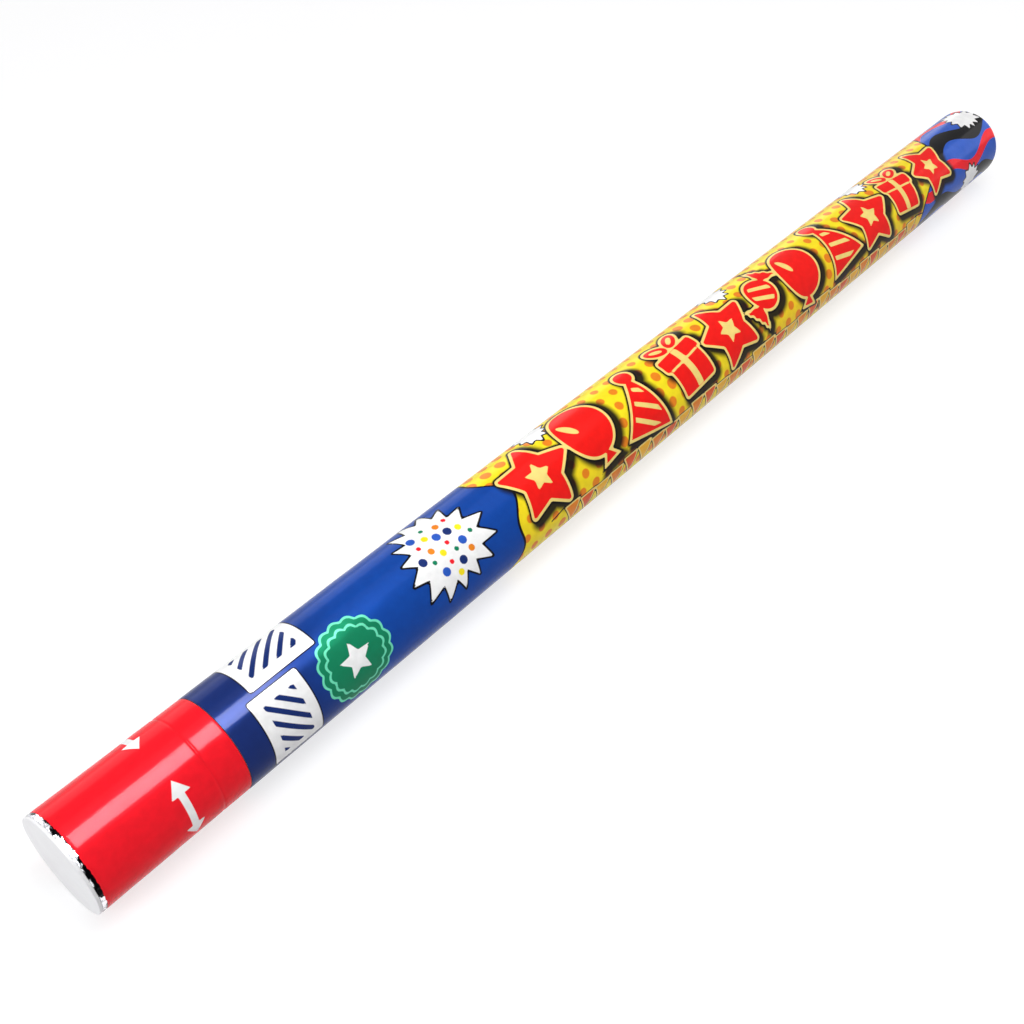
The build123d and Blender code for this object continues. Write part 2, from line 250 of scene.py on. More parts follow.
def star(u, v, reach, waist=0.5, points=5):
    """A star: the plane is folded into half a point, and the distance is to that point's edge."""
    sector = 2 * np.pi / points
    angle = np.abs((np.arctan2(u, v) + sector / 2) % sector - sector / 2)
    x, y = np.hypot(u, v) * np.sin(angle), np.hypot(u, v) * np.cos(angle) - reach
    edge_x = waist * reach * np.sin(sector / 2)
    edge_y = waist * reach * np.cos(sector / 2) - reach
    share = np.clip((x * edge_x + y * edge_y) / (edge_x**2 + edge_y**2), 0, 1)
    side = np.sign(edge_x * y - edge_y * x)
    return side * np.hypot(x - share * edge_x, y - share * edge_y)


def burst(u, v, reach, points=13, waist=0.68):
    """A spiky burst: a star whose reach swells and shrinks three times round."""
    swell = 1 + 0.10 * np.sin(3 * np.arctan2(v, u) + reach)
    return swell * star(u / swell, v / swell, reach, waist, points)


def ellipse(u, v, a, b):
    """An ellipse: its level function over its gradient's length."""
    level = np.hypot(u / a, v / b)
    slope = np.hypot(u / a**2, v / b**2)
    return level * (level - 1) / np.maximum(slope, 1e-6)


def panel(u, v, half_u, half_v, corner):
    """A rectangle with round corners."""
    x, y = np.abs(u) - half_u + corner, np.abs(v) - half_v + corner
    outside = np.hypot(np.maximum(x, 0), np.maximum(y, 0))
    return outside + np.minimum(np.maximum(x, y), 0) - corner


def wedge(u, v, half_base, height, corner):
    """A triangle that stands on its base, from its three edges, with round corners."""
    steep = np.hypot(half_base, height)
    sides = (np.abs(u) * height + (v - height / 2) * half_base) / steep
    return np.maximum(sides + corner, -v - height / 2 + corner) - corner


def bands(across, pitch, half):
    """Even bands across a direction: the distance to the nearest middle line, less half a width."""
    return np.abs(across % pitch - pitch / 2) - half


def star_motif(u, v, k):
    """A star with round points, and a smaller star on it, at scale k."""
    return star(u, v, 20.5 * k, 0.53) - 1.2, star(u, v, 8.0 * k, 0.5)


def balloon_motif(u, v, k):
    """An ellipse with a wedge for its knot, and a leaning ellipse for its shine."""
    knot = wedge(u, v + 17.5 * k, 4.5 * k, 6 * k, 0.6)
    shine = ellipse(u + 6.5 * k + 0.35 * (v - 7 * k), v - 7 * k, 2.2 * k, 5.5 * k)
    return np.minimum(ellipse(u, v - 2 * k, 15 * k, 17.5 * k), knot), shine


def hat_motif(u, v, k):
    """A wedge with a round bobble on its point, and slanted bands."""
    cone = wedge(u, v + 2 * k, 16 * k, 33 * k, 1.5)
    bobble = np.hypot(u, v - 15.5 * k) - 5 * k
    band = bands(0.45 * u + v + 30, 9.5 * k, 1.5)
    return np.minimum(cone, bobble), np.maximum(band, cone + 2.0)


def gift_motif(u, v, k):
    """A box, its wider lid and two leaning loops, and a ribbon, a lid line and the loops' hollows."""
    box = panel(u, v + 8 * k, 13 * k, 10.5 * k, 1.5)
    box = np.minimum(box, panel(u, v - 3 * k, 15.5 * k, 4 * k, 1.5))
    out, up = np.abs(u) - 6.8 * k, v - 13.2 * k
    lean = 0.84 * out + 0.54 * up, 0.84 * up - 0.54 * out
    ribbon = np.maximum(np.abs(u) - 2.3 * k, box + 0.2)
    lid = np.maximum(np.abs(v + 1.6 * k) - 0.7, box + 0.2)
    hollow = ellipse(*lean, 4 * k, 1.5 * k)
    return np.minimum(box, ellipse(*lean, 7 * k, 4 * k)), np.min([ribbon, lid, hollow], axis=0)


def sweet_motif(u, v, k):
    """A ball with a frilled twist of paper on each side, and slanted bands."""
    ball = np.hypot(u, v) - 12 * k
    out = np.abs(u) - 15.5 * k
    frill = 1.2 * k * np.cos(2 * np.pi * v / (5.2 * k))
    twist = wedge(v, -out - frill * 0.5, 9.5 * k, 11 * k, 0.8)
    band = bands(0.87 * u + 0.5 * v, 8 * k, 1.5 * k)
    return np.minimum(ball, twist), np.maximum(band, ball + 2.2)


# The print's layout: motif, place along and around, scale and tilt
FRONT = 10.5
BACK = FRONT + GIRTH / 2
MOTIFS = [
    (star_motif, 283, FRONT + 1, 1.06, -9),
    (balloon_motif, 325, FRONT - 3, 1.06, 10),
    (hat_motif, 367, FRONT + 2, 1.06, -12),
    (gift_motif, 409, FRONT - 1, 1.04, 6),
    (star_motif, 451, FRONT + 3, 1.06, 12),
    (sweet_motif, 491, FRONT - 2, 0.92, 38),
    (balloon_motif, 528, FRONT + 2, 1.06, -10),
    (hat_motif, 570, FRONT - 2, 1.06, 11),
    (star_motif, 613, FRONT + 2, 1.06, -5),
    (gift_motif, 655, FRONT - 2, 0.95, -8),
    (star_motif, 696, FRONT + 1, 0.92, 14),
    (hat_motif, 300, BACK, 1.0, 9),
    (star_motif, 343, BACK - 3, 1.0, 5),
    (gift_motif, 386, BACK + 2, 1.0, -7),
    (balloon_motif, 428, BACK, 1.0, 8),
    (sweet_motif, 467, BACK + 1, 0.92, -36),
    (star_motif, 507, BACK - 2, 1.0, 15),
    (hat_motif, 550, BACK + 2, 1.06, -10),
    (gift_motif, 592, BACK - 1, 1.0, 8),
    (star_motif, 634, BACK + 2, 1.06, -12),
    (balloon_motif, 690, BACK, 0.9, 10),
]
SHADOW_SHIFT = (2.0, 3.0)

# Bursts: place along and around, reach and points
BIG_BURSTS = [(215, 9, 27, 15), (180, 92, 22, 13)]
SMALL_BURSTS = [
    (304, -15, 11, 11), (471, -15, 11, 11), (634, -15, 11, 11), (741, 41, 12, 11), (768, -3, 14, 13),
    (330, -45, 12, 11), (520, -44, 13, 11), (655, 118, 12, 11), (762, 86, 13, 11),
]
BIT_INKS = [RED, YELLOW, SKY, GREEN, ORANGE, NAVY]
FLAG_INKS = [ORANGE, RUST, AMBER]

# Panels: place along and around, half sizes and the stripes' slant. Rosettes: place and reach
PANELS = [(105.2, 28.6, 13.5, 18.1, 45), (115.2, -7.3, 18.5, 14.8, -45)]
ROSETTES = [(145, 25.5, 19), (130, 98, 17)]


def blank(along):
    """A field with nothing on it yet: every point is far outside."""
    return np.full(along.shape, FAR)


def lay_motifs(along, around):
    """The big motifs and the pale trim on them."""
    body, trim = blank(along), blank(along)
    for motif, x, s, scale, tilt in MOTIFS:
        shape, mark = motif(*own_axes(along, around, (x, s), tilt), scale)
        body, trim = np.minimum(body, shape), np.minimum(trim, mark)
    return {"motif": body, "trim": trim}


def lay_zones(along, around):
    """The yellow zone between its wavy start and slanted end, its dots, and how golden it is.

    Both ends are sums of sine waves round the tube. Dots of slowly changing size stand in staggered
    rows. The gold comes and goes twice round the tube, and grows from the base to the muzzle.
    """
    start_place, end_place, end_lean, end_low = 256, 696, 32, 53
    dot_rows, dot_step = 18, 11.0
    turn = 2 * np.pi * around / GIRTH
    start = start_place + 6 * np.sin(2 * turn + 0.6) + 3 * np.sin(5 * turn)
    end = end_place - end_lean * np.cos(turn - 2 * np.pi * end_low / GIRTH) + 3 * np.sin(4 * turn)
    yellow = np.maximum(start - along, (along - end) * 0.85)
    pitch = GIRTH / dot_rows
    row = np.round(around / pitch)
    u = (along + dot_step / 2 * (row % 2)) % dot_step - dot_step / 2
    size = 2.8 + 0.4 * np.sin(2 * np.pi * along / 190 + 2 * turn)
    dots = np.hypot(u, around - row * pitch) - size
    most = 0.08 + 0.27 * np.clip((along - 330) / 330, 0, 1)
    gold = most * (1 - np.cos(2 * (turn - 0.1) + 0.8 * np.sin(2 * np.pi * along / 240)))
    return {"yellow": yellow, "dots": dots, "gold": gold}


def lay_streamers(along, around, yellow):
    """Paper streamers beyond the yellow zone: the distance to a sine wave, less half a width.

    Wide dark ones and narrow red ones take turns round the tube.
    """
    count, first, height, length = 8, 655, 5.0, 60
    half_dark, half_red, lean = 5.2, 3.4, 0.92
    dark, red = blank(along), blank(along)
    for i in range(count):
        u, v = own_axes(along, around, (first, (i + 0.3) * GIRTH / count))
        off = lean * np.abs(v - height * np.sin(2 * np.pi * u / length + 1.7 * i))
        if i % 2:
            red = np.minimum(red, off - half_red)
        else:
            dark = np.minimum(dark, off - half_dark)
    elsewhere = np.maximum(-yellow, 640 - along)
    return {"streamer_dark": np.maximum(dark, elsewhere), "streamer_red": np.maximum(red, elsewhere)}


def lay_bursts(along, around):
    """All the bursts, each turned by a tilt of its own."""
    spikes = blank(along)
    for x, s, reach, points in BIG_BURSTS + SMALL_BURSTS:
        one = burst(*own_axes(along, around, (x, s), 7 * points), reach, points)
        spikes = np.minimum(spikes, one)
    return {"burst": spikes}


def lay_bits(along, around, count=22, step=3.55):
    """Round paper bits on the two large bursts, set out as seeds in a flower head, with their inks."""
    golden_angle, full_reach = 2.39996, 27
    nearest, inks = blank(along), np.ones((*along.shape, 4))
    for x, s, reach, _ in BIG_BURSTS:
        for i in range(int(count * (reach / full_reach) ** 2)):
            angle, distance = golden_angle * i, step * np.sqrt(i + 0.4)
            place = x + distance * np.cos(angle), s + distance * np.sin(angle)
            bit = np.hypot(*own_axes(along, around, place)) - (1.3 + 0.5 * (i * 7 % 3))
            inks[bit < nearest] = linear(BIT_INKS[i % len(BIT_INKS)])
            nearest = np.minimum(nearest, bit)
    return {"bit": nearest, "bit_ink": inks}


def lay_bunting(along, around):
    """Small flags on two strings that sag between their ties, with the flags' inks.

    A string sags as a parabola from tie to tie. It is given as a signed offset, and as a plain
    distance that ends with the string.
    """
    pitch, swag, first, count = 12.4, 62.0, 288.0, 30
    half_string, string_middle = 194, 186
    flags, inks = blank(along), np.ones((*along.shape, 4))
    strings, near = blank(along), blank(along)

    def sag(place):
        return 4 - 4 * (2 * (place / swag % 1) - 1) ** 2

    for middle in (39.0, -36.0):
        u, v = own_axes(along, around, (first, middle))
        offset = v + sag(u) - 5
        strings = np.where(np.abs(offset) < np.abs(strings), offset, strings)
        past_end = np.abs(u - string_middle) - half_string
        near = np.minimum(near, np.maximum(np.abs(offset), past_end))
        for i in range(count):
            here = (i + 0.5) * pitch
            flag = wedge(u - here, -(v + sag(here) + 1.3), 5.1, 12.0, 0.8)
            inks[flag < flags] = linear(FLAG_INKS[i % len(FLAG_INKS)])
            flags = np.minimum(flags, flag)
    return {"flag": flags, "flag_ink": inks, "string": strings, "near_string": near}


def lay_labels(along, around):
    """White panels with slanted stripes in a frame, and scalloped rosettes with a star in each."""
    margin, pitch, half_stripe = 5.0, 5.6, 1.2
    panels, stripes, rosettes, stars = (blank(along) for _ in range(4))
    for x, s, half_u, half_v, slant in PANELS:
        u, v = own_axes(along, around, (x, s))
        sheet = panel(u, v, half_u, half_v, 0.8)
        across = np.cos(np.radians(slant)) * u + np.sin(np.radians(slant)) * v
        panels = np.minimum(panels, sheet)
        stripes = np.minimum(stripes, np.maximum(bands(across, pitch, half_stripe), sheet + margin))
    for x, s, reach in ROSETTES:
        u, v = own_axes(along, around, (x, s))
        scallop = 1.6 * np.abs(np.cos(8 * np.arctan2(v, u)))
        rosettes = np.minimum(rosettes, np.hypot(u, v) - reach - scallop)
        stars = np.minimum(stars, star(u, v, 0.5 * reach, 0.45))
    return {"panel": panels, "stripe": stripes, "rosette": rosettes, "rosette_star": stars}


def lay_arrows(along, around):
    """Three double-headed arrows round the grip: a straight shaft with a wedge at each end."""
    count, place_along, place_around = 3, 48.3, 31.1
    arrows = blank(along)
    for i in range(count):
        u, v = own_axes(along, around, (place_along, place_around + i * GIRTH / count))
        shaft = panel(u, v, 1.6, 10.5, 0.2)
        heads = wedge(u, np.abs(v) - 12.1, 4.7, 7.2, 0.2)
        arrows = np.minimum(arrows, np.minimum(shaft, heads))
    return {"arrow": arrows}


# Shader helpers


def connect(tree, socket, value):
    """Link an input to another socket, or set its plain value."""
    if isinstance(value, bpy.types.NodeSocket):
        tree.links.new(value, socket)
    else:
        socket.default_value = value


def feed(tree, inputs, **values):
    """Link sockets to inputs by name, with underscores for spaces."""
    for label, value in values.items():
        tree.links.new(value, inputs[label.replace("_", " ")])


def node(tree, kind, *inputs, **settings):
    """Add a shader node, set its properties, and link or set its inputs in order. None skips one."""
    made = tree.nodes.new("ShaderNode" + kind)
    for name, value in settings.items():
        setattr(made, name, value)
    for socket, value in zip(made.inputs, inputs):
        if value is not None:
            connect(tree, socket, value)
    return made


def calc(tree, operation, *inputs):
    """The result of a Math node."""
    return node(tree, "Math", *inputs, operation=operation).outputs[0]


def ramp(tree, value, low, high, out_low=0.0, out_high=1.0, smooth=False):
    """A value carried from one range to another, and held at its ends."""
    kind = "SMOOTHSTEP" if smooth else "LINEAR"
    made = node(tree, "MapRange", value, low, high, out_low, out_high, interpolation_type=kind)
    return made.outputs[0]


def mix(tree, mask, under, over, blend="MIX"):
    """One colour laid over another where the mask is 1."""
    made = node(tree, "Mix", data_type="RGBA", blend_type=blend)
    for index, value in ((0, mask), (6, under), (7, over)):
        connect(tree, made.inputs[index], value)
    return made.outputs[2]


def toned(tree, colour, tone):
    """A colour times a grey tone."""
    grey = node(tree, "CombineColor", tone, tone, tone).outputs[0]
    return mix(tree, 1.0, colour, grey, "MULTIPLY")


def painted(tree, ground, layers):
    """Inks laid over a ground in turn, each where its mask is 1. An ink is sRGB or a colour socket."""
    colour = linear(ground)
    for mask, ink in layers:
        colour = mix(tree, mask, colour, ink if isinstance(ink, bpy.types.NodeSocket) else linear(ink))
    return colour


def carried(tree, name, output="Fac"):
    """A field that the mesh carries as an attribute."""
    return node(tree, "Attribute", attribute_name=name).outputs[output]


def inside(tree, distance, edge=0.0, soft=0.12):
    """1 where a signed distance is under the edge, with a narrow soft step."""
    return ramp(tree, distance, edge + soft, edge - soft)


def thin_line(tree, distance, outer, inner, most=1.0):
    """A line where a distance is about zero: full within the inner half width, gone at the outer."""
    return ramp(tree, calc(tree, "ABSOLUTE", distance), outer, inner, 0.0, most)


def object_mm(tree):
    """Object coordinates in millimetres."""
    place = node(tree, "TexCoord").outputs["Object"]
    return node(tree, "VectorMath", place, None, None, 1 / MM, operation="SCALE").outputs[0]


def stretched(tree, vector, scale):
    """A vector times a scale for each axis."""
    return node(tree, "VectorMath", vector, scale, operation="MULTIPLY").outputs[0]


def noise(tree, vector, scale, detail=3.0, rough=0.5):
    """Noise from 0 to 1, with this many lumps a millimetre."""
    return node(tree, "TexNoise", vector, None, scale, detail, rough).outputs[0]


def clouded(tree, vector, scale, low, high, detail=3.0, rough=0.5):
    """A value that drifts between low and high with noise, most of which is from 0.3 to 0.7."""
    return ramp(tree, noise(tree, vector, scale, detail, rough), 0.3, 0.7, low, high)


def new_group(name, inputs, outputs):
    """A shader node group with named sockets: (name, kind, default) in, (name, kind) out."""
    tree = bpy.data.node_groups.new(name, "ShaderNodeTree")
    for label, kind, default in inputs:
        socket = tree.interface.new_socket(label, in_out="INPUT", socket_type="NodeSocket" + kind)
        socket.default_value = default
    for label, kind in outputs:
        tree.interface.new_socket(label, in_out="OUTPUT", socket_type="NodeSocket" + kind)
    return tree, tree.nodes.new("NodeGroupInput").outputs, tree.nodes.new("NodeGroupOutput").inputs


def place_group(tree, group, *inputs):
    """Put a node group in a tree and return its outputs."""
    made = tree.nodes.new("ShaderNodeGroup")
    made.node_tree = group
    for socket, value in zip(made.inputs, inputs):
        connect(tree, socket, value)
    return made.outputs


def new_material(name, **constants):
    """A material with a Principled shader, whose plain values are set on its own sockets."""
    material = bpy.data.materials.new(name)
    material.use_nodes = True
    tree = material.node_tree
    for label, value in constants.items():
        tree.nodes["Principled BSDF"].inputs[label.replace("_", " ")].default_value = value
    return material, tree


def finished(material, height, depth, **values):
    """Link a material's shader to values by name, and to a bump of this depth in millimetres."""
    tree = material.node_tree
    relief = node(tree, "Bump", 1.0, depth * MM)
    feed(tree, relief.inputs, Height=height)
    feed(tree, tree.nodes["Principled BSDF"].inputs, Normal=relief.outputs[0], **values)
    return material


# Effects that several materials share


def film_finish_group():
    """Printed film: ink that varies a little, a roughness with rubbed streaks, and a fine skin."""
    tree, given, out = new_group(
        "film_finish",
        [("Base Roughness", "Float", 0.3)],
        [("Ink", "Float"), ("Roughness", "Float"), ("Height", "Float")],
    )
    place = object_mm(tree)
    streak = noise(tree, stretched(tree, place, (0.03, 0.9, 0.9)), 1.0, 3)
    skin = noise(tree, place, 0.55, 2)
    grain = noise(tree, place, 3.5, 2)
    rubbed = ramp(tree, streak, 0.55, 0.8, 0.0, 0.03)
    uneven = clouded(tree, place, 0.06, -0.03, 0.04, 4)
    feed(
        tree, out,
        Ink=clouded(tree, place, 0.25, 0.93, 1.03, 5),
        Roughness=calc(tree, "ADD", calc(tree, "ADD", given["Base Roughness"], uneven), rubbed),
        Height=calc(tree, "ADD", skin, calc(tree, "MULTIPLY", grain, 0.2)),
    )
    return tree


def card_fibre_group():
    """Tube board: pulp flecks, fibres that lie round the tube, and plies that show on a cut end."""
    tree, given, out = new_group(
        "card_fibre",
        [("Colour", "Color", (0.5, 0.5, 0.5, 1)), ("Ply", "Float", 0.35)],
        [("Colour", "Color"), ("Height", "Float")],
    )
    place = object_mm(tree)
    _, y, z = node(tree, "SeparateXYZ", place).outputs
    squares = calc(tree, "ADD", calc(tree, "POWER", y, 2.0), calc(tree, "POWER", z, 2.0))
    wander = calc(tree, "MULTIPLY", noise(tree, place, 0.5, 3), 0.25)
    ring = calc(tree, "ADD", calc(tree, "SQRT", squares), wander)
    ply = calc(tree, "PINGPONG", ring, calc(tree, "DIVIDE", given["Ply"], 2.0))
    seam = ramp(tree, ply, 0.0, 0.07, 0.72, 1.0)
    fibre = noise(tree, stretched(tree, place, (2.6, 0.5, 0.5)), 1.6, 6, 0.65)
    fleck = ramp(tree, noise(tree, place, 2.2, 6, 0.7), 0.62, 0.72, 1.0, 0.66)
    tone = calc(tree, "MULTIPLY", ramp(tree, fibre, 0.3, 0.7, 0.84, 1.1), seam)
    feed(
        tree, out,
        Colour=toned(tree, given["Colour"], calc(tree, "MULTIPLY", tone, fleck)),
        Height=calc(tree, "MULTIPLY", fibre, seam),
    )
    return tree


def moulded_skin_group():
    """Moulded plastic or rubber: a faint mottle, a fine spark finish and a few dull rubs."""
    tree, given, out = new_group(
        "moulded_skin",
        [("Colour", "Color", (0.5, 0.5, 0.5, 1)), ("Base Roughness", "Float", 0.4)],
        [("Colour", "Color"), ("Roughness", "Float"), ("Height", "Float")],
    )
    place = object_mm(tree)
    mottle = clouded(tree, place, 0.14, 0.97, 1.01, 5, 0.6)
    scuff = noise(tree, stretched(tree, place, (1.0, 0.25, 1.0)), 0.8, 4)
    rub = ramp(tree, scuff, 0.55, 0.75, 0.0, 0.12)
    feed(
        tree, out,
        Colour=toned(tree, given["Colour"], mottle),
        Roughness=calc(tree, "ADD", given["Base Roughness"], rub),
        Height=noise(tree, place, 5.0, 3),
    )
    return tree


def drawn_metal_group():
    """Drawn or pressed sheet: fine lines along the draw, and smudges in the gloss."""
    tree, given, out = new_group(
        "drawn_metal",
        [("Base Roughness", "Float", 0.3)],
        [("Roughness", "Float"), ("Height", "Float")],
    )
    place = object_mm(tree)
    smudge = ramp(tree, noise(tree, place, 0.12, 4), 0.35, 0.7, 0.0, 0.14)
    feed(
        tree, out,
        Roughness=calc(tree, "ADD", given["Base Roughness"], smudge),
        Height=noise(tree, stretched(tree, place, (0.05, 4.0, 4.0)), 1.0, 4),
    )
    return tree


FILM_FINISH = film_finish_group()
CARD_FIBRE = card_fibre_group()
MOULDED_SKIN = moulded_skin_group()
DRAWN_METAL = drawn_metal_group()


# Materials


def film_shader(name, paint):
    """Laminated film: paint(tree, along) gives the print's colour, and a clear coat lies over it.

    A trace of metal under the inks lends the gleam their colour.
    """
    gloss = {"Metallic": 0.11, "Coat_Weight": 0.11, "Coat_Roughness": 0.08, "Specular_IOR_Level": 0.02}
    material, tree = new_material(name, **gloss)
    along = node(tree, "SeparateXYZ", object_mm(tree)).outputs[0]
    finish = place_group(tree, FILM_FINISH, 0.22)
    ink = toned(tree, paint(tree, along), finish["Ink"])
    return finished(material, finish["Height"], 0.018, Base_Color=ink, Roughness=finish["Roughness"])


def paint_barrel(tree, along):
    """The barrel's print, ink by ink from its ground up to the panels that lie on top.

    Edges are in millimetres. An ink cut a little outside a motif stays as a line round the next ink.
    """
    yellow, rosette = carried(tree, "yellow"), carried(tree, "rosette")

    def cut(name, edge=0.0):
        return inside(tree, carried(tree, name), edge)

    near = cut("thin_line", 3.0)
    warm = mix(tree, carried(tree, "gold"), linear(YELLOW), linear(GOLD))
    dotted = mix(tree, inside(tree, carried(tree, "dots"), 0.0, 0.3), warm, linear(ORANGE))
    return painted(tree, NAVY, [
        (ramp(tree, along, 95, 165, smooth=True), ROYAL),
        (ramp(tree, along, 600, 640), SKY),
        (inside(tree, yellow), dotted),
        (cut("streamer_dark"), BLACK),
        (cut("streamer_red"), RED),
        (thin_line(tree, yellow, 0.9, 0.6), BLACK),
        (cut("burst", 1.0), BLACK),
        (cut("burst"), WHITE),
        (cut("bit"), carried(tree, "bit_ink", "Color")),
        (ramp(tree, carried(tree, "shadow"), 6.5, 2.2, 0.0, 0.98, smooth=True), BLACK),
        (thin_line(tree, carried(tree, "string"), 0.55, 0.35, near), BLACK),
        (cut("flag", 1.5), BLACK),
        (cut("flag", 0.9), CREAM),
        (cut("flag"), carried(tree, "flag_ink", "Color")),
        (ramp(tree, carried(tree, "motif"), 3.4, 2.2, smooth=True), BLACK),
        (cut("motif", 1.6), CREAM),
        (cut("motif"), MOTIF_RED),
        (cut("trim"), CREAM),
        (cut("panel", 0.7), NIGHT),
        (cut("panel"), WHITE),
        (cut("stripe"), NAVY),
        (inside(tree, rosette), MINT),
        (inside(tree, rosette, -1.2), GREEN),
        (thin_line(tree, calc(tree, "ADD", rosette, 4.6), 0.75, 0.5), MINT),
        (cut("rosette_star"), WHITE),
        (thin_line(tree, carried(tree, "lap"), 0.4, 0.2, near), BARE_FILM),
    ])


def paint_grip(tree, along):
    """Plain red with white arrows, and a darker red line of painted shade along the rolled-in crease.
    """
    from_crease = calc(tree, "SUBTRACT", along, CREASE / MM)
    return painted(tree, RED, [
        (inside(tree, carried(tree, "arrow")), WHITE),
        # Painted shade: a darker red line along the crease
        (thin_line(tree, from_crease, 0.5, 0.0, 0.12), CREASE_SHADE_RED),
    ])


def moulded(name, colour, rough, grain, **constants):
    """Moulded plastic or rubber, with a grain in millimetres."""
    material, tree = new_material(name, **constants)
    skin = place_group(tree, MOULDED_SKIN, linear(colour), rough)
    return finished(
        material, skin["Height"], grain, Base_Color=skin["Colour"], Roughness=skin["Roughness"]
    )


def board(name, colour, ply, depth=0.06):
    """Wound board, with its plies' thickness and its fibres' depth in millimetres."""
    material, tree = new_material(name, Roughness=0.85, Specular_IOR_Level=0.2)
    card = place_group(tree, CARD_FIBRE, linear(colour), ply)
    return finished(material, card["Height"], depth, Base_Color=card["Colour"])


def sheet_metal(name, colour, rough, depth=0.006):
    """Bare sheet metal with a cloudy tone, and draw lines of this depth in millimetres."""
    material, tree = new_material(name, Metallic=1.0)
    lines = place_group(tree, DRAWN_METAL, rough)
    metal = toned(tree, linear(colour), clouded(tree, object_mm(tree), 0.09, 0.90, 1.0, 4))
    return finished(material, lines["Height"], depth, Base_Color=metal, Roughness=lines["Roughness"])


def facet(tree, place):
    """Distance in millimetres from the nearest crease of a net of crumples about 4 mm across."""
    across = 4.0
    bent = stretched(tree, node(tree, "TexNoise", place, None, 0.3).outputs["Color"], (3, 3, 3))
    moved = node(tree, "VectorMath", place, bent, operation="ADD").outputs[0]
    cells = node(tree, "TexVoronoi", moved, None, 1 / across, feature="DISTANCE_TO_EDGE")
    return calc(tree, "MULTIPLY", cells.outputs["Distance"], across)


def crumpled_foil(name, colour, dark_low, dark_high, rise):
    """Bright metallised film with painted light: jagged dark patches of painted reflection among
    bright facets, more of them towards the label, and painted shade along the creases.
    """
    material, tree = new_material(name, Metallic=1.0)
    place = object_mm(tree)
    along = node(tree, "SeparateXYZ", place).outputs[0]
    # Noisy patches that become painted dark reflections, with more of them towards the label
    dark_reflection_patch = noise(tree, stretched(tree, place, (1.4, 1.0, 1.0)), 0.12, 8, 0.6)
    lean = ramp(tree, along, 1.7, 4.2, -rise, rise)
    crease = facet(tree, place)
    # Painted shade along the creases, then dark patches of painted reflection
    foil = painted(tree, colour, [
        (ramp(tree, crease, 0.0, 0.5, 0.7, 0.0), FOIL_CREASE_SHADE),
        (ramp(tree, calc(tree, "ADD", dark_reflection_patch, lean), dark_low, dark_high), FOIL_DARK_REFLECTION),
    ])
    rough = clouded(tree, place, 1.3, 0.10, 0.34, 4)
    height = calc(tree, "ADD", noise(tree, place, 1.1, 5, 0.6), ramp(tree, crease, 0.0, 1.5))
    return finished(material, height, 0.12, Base_Color=foil, Roughness=rough)


def paper_slip(name, colour, shine=0.0):
    """Tissue or foil-faced paper, with a cloudy tone and fine fibres."""
    material, tree = new_material(name, Metallic=shine, Specular_IOR_Level=0.25)
    place = object_mm(tree)
    paper = toned(tree, linear(colour), clouded(tree, place, 0.09, 0.80, 1.08, 5, 0.6))
    smooth = 0.5 * shine
    rough = clouded(tree, place, 0.6, 0.75 - smooth, 0.9 - smooth)
    fibres = noise(tree, place, 1.4, 5, 0.65)
    return finished(material, fibres, 0.05, Base_Color=paper, Roughness=rough)


def pressed_felt(name, colour):
    """Felt: matted hairs of two tones, with a soft sheen."""
    hairy = {"Roughness": 1.0, "Specular_IOR_Level": 0.1, "Sheen_Weight": 0.35}
    material, tree = new_material(name, **hairy)
    place = object_mm(tree)
    hair = noise(tree, stretched(tree, place, (1.0, 2.4, 0.7)), 1.5, 8, 0.7)
    tangle = noise(tree, stretched(tree, place, (0.8, 0.7, 2.6)), 1.4, 8, 0.7)
    both = calc(tree, "MULTIPLY", calc(tree, "ADD", hair, tangle), 0.5)
    pale = tuple(min(255, 1.45 * c) for c in colour)
    felt = mix(tree, ramp(tree, both, 0.38, 0.62), linear(colour), linear(pale))
    return finished(material, both, 0.5, Base_Color=felt)


# Pieces: the two printed wraps


def soft_ends(along, low, high):
    """How far a film's cut edge is pressed down, fading over a short way in from each end."""
    nearest = np.minimum(along - low, high - along)
    return CUT_PRESS * np.clip(1 - nearest / CUT_ROUND, 0, 1) ** 2


def barrel_outside(along, turn):
    """The barrel film's radius: slightly uneven, pressed down at its cut ends, raised at its lap."""
    lap = way_round(turn * RADIUS / MM, LAP)
    raised = 0.10 * MM * np.clip(1.5 - np.abs(lap - 3.5) / 2.5, 0, 1)
    uneven = 0.030 * MM * ripples(along, turn, 0.012, 5, seed=4)
    return RADIUS - FILM_SINK + uneven + raised - soft_ends(along, WRAP_LOW.x, WRAP_HIGH.x)


def grip_outside(along, turn):
    """The grip film's radius: uneven, with a rolled crease and its cut ends pressed down."""
    crease = CREASE_DEPTH * np.exp(-(((along - CREASE) / (0.55 * CREASE_HALF)) ** 2))
    uneven = 0.035 * MM * ripples(along, turn, 0.011, 4, seed=9)
    return GRIP_HIGH.z - FILM_SINK + uneven - crease - soft_ends(along, GRIP_LOW.x, GRIP_HIGH.x)


def make_barrel_wrap(rows=633, columns=144):
    """The barrel's film, which carries every field of its print."""
    stations = np.linspace(WRAP_LOW.x, WRAP_HIGH.x, rows)
    inner = RADIUS - FILM_THICKNESS
    piece, along, around = film_ring("barrel_print", stations, columns, barrel_outside, inner)
    right, down = SHADOW_SHIFT
    shadow = lay_motifs(along - right, around - down)["motif"]
    zones = lay_zones(along, around)
    bunting = lay_bunting(along, around)
    lap = way_round(around, LAP)
    lines = np.minimum(bunting.pop("near_string"), np.abs(lap))
    keep(piece, {**zones, **lay_streamers(along, around, zones["yellow"])})
    keep(piece, {**lay_motifs(along, around), "shadow": shadow})
    keep(piece, {**lay_bursts(along, around), **lay_bits(along, around), **bunting})
    keep(piece, {**lay_labels(along, around), "lap": lap, "thin_line": lines})
    return piece


